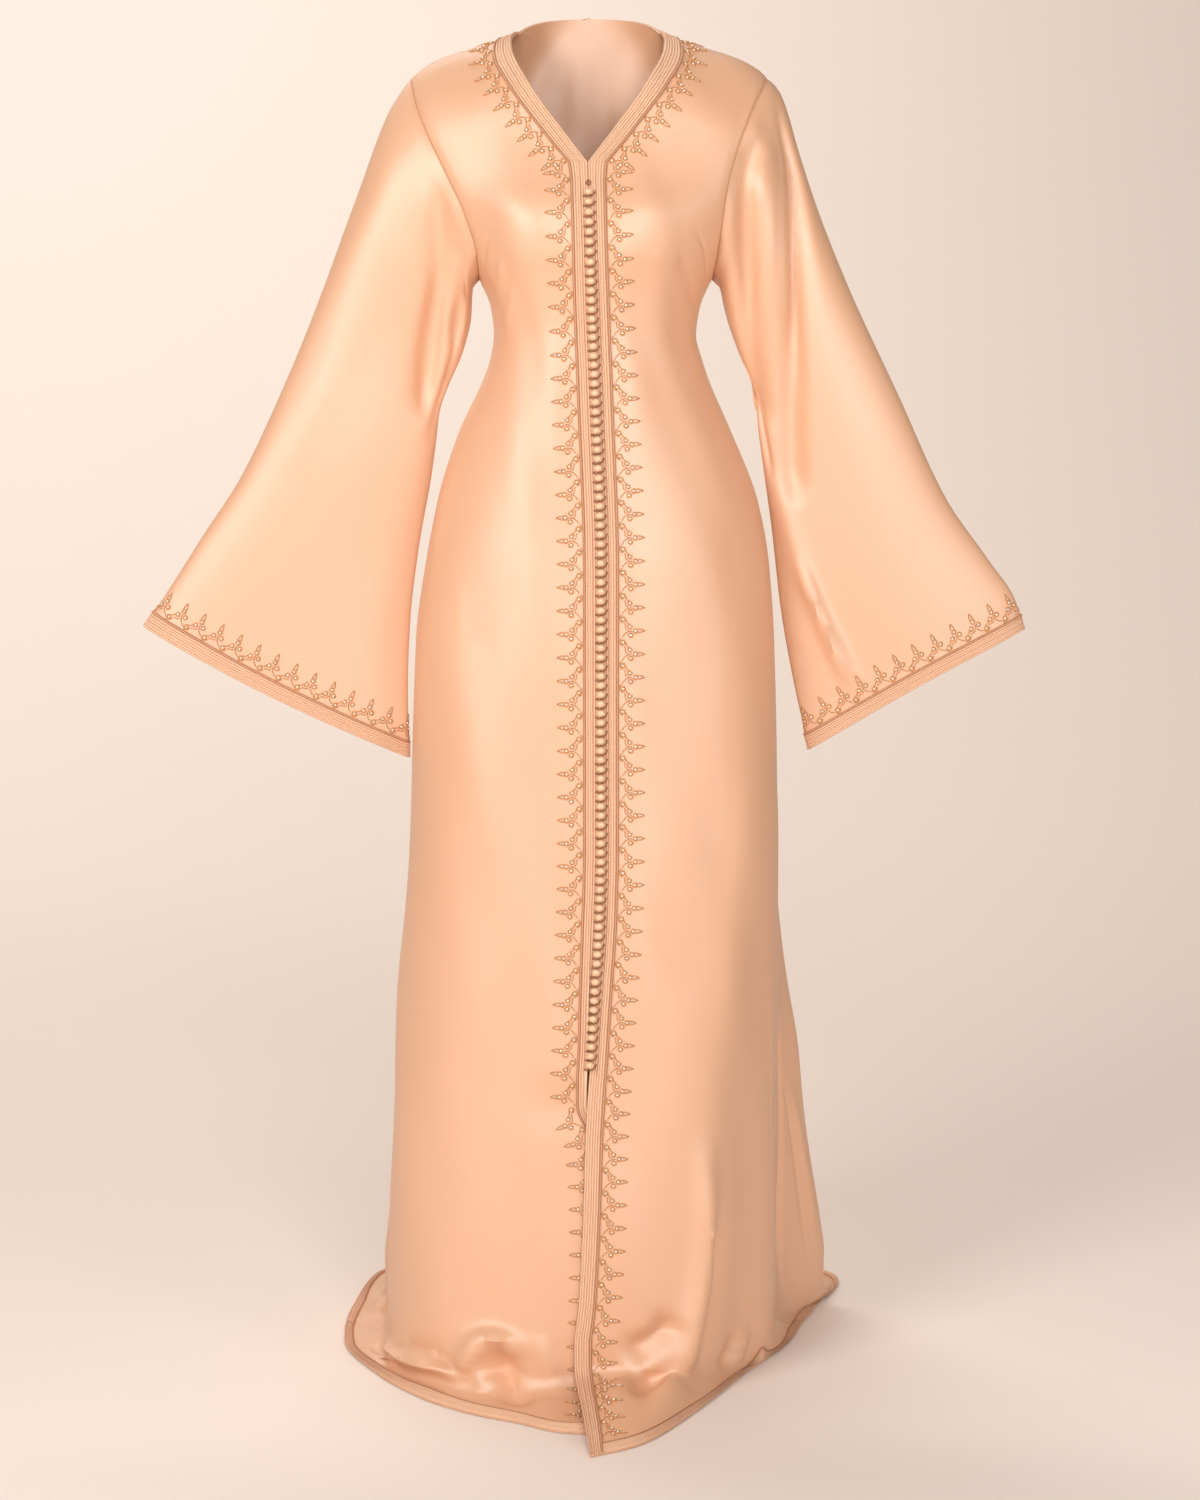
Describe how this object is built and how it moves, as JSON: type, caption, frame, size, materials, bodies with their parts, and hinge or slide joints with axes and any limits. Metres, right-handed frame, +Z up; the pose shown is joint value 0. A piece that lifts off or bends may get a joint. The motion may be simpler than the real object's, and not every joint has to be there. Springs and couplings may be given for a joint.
{
  "type": "kaftan",
  "caption": "Floor-length satin kaftan in its worn shape, with a V neck, wide flared sleeves, braided trims, a row of knot buttons and a hem that spreads on the floor.",
  "frame": {"origin": "between the shoulders at the level of the neck's base, where the worn garment is held by the shoulders and neck", "axes": "+Z up along the garment's height, +X towards the viewer's right, which is the wearer's left, and the front faces -Y"},
  "size_m": [0.9802, 0.6678, 1.4947],
  "materials": {
    "satin": "peach champagne satin",
    "braid": "rose gold braided cord trim",
    "cord": "rose gold knotted cord"
  },
  "bodies": {
    "root": {"front_left": "satin", "front_right": "satin", "back": "satin", "sleeve_left": "satin", "sleeve_right": "satin", "front_trim_left": "braid", "front_trim_right": "braid", "neck_trim_back": "braid", "cuff_trim_left": "braid", "cuff_trim_right": "braid", "knots_01": "cord", "knots_02": "cord", "knots_03": "cord", "knots_04": "cord", "knots_05": "cord", "knots_06": "cord", "knots_07": "cord", "knots_08": "cord", "knots_09": "cord", "knots_10": "cord", "knots_11": "cord", "knots_12": "cord", "hem_trim_left": "braid", "hem_trim_right": "braid", "hem_trim_back": "braid"}
  },
  "joints": []
}
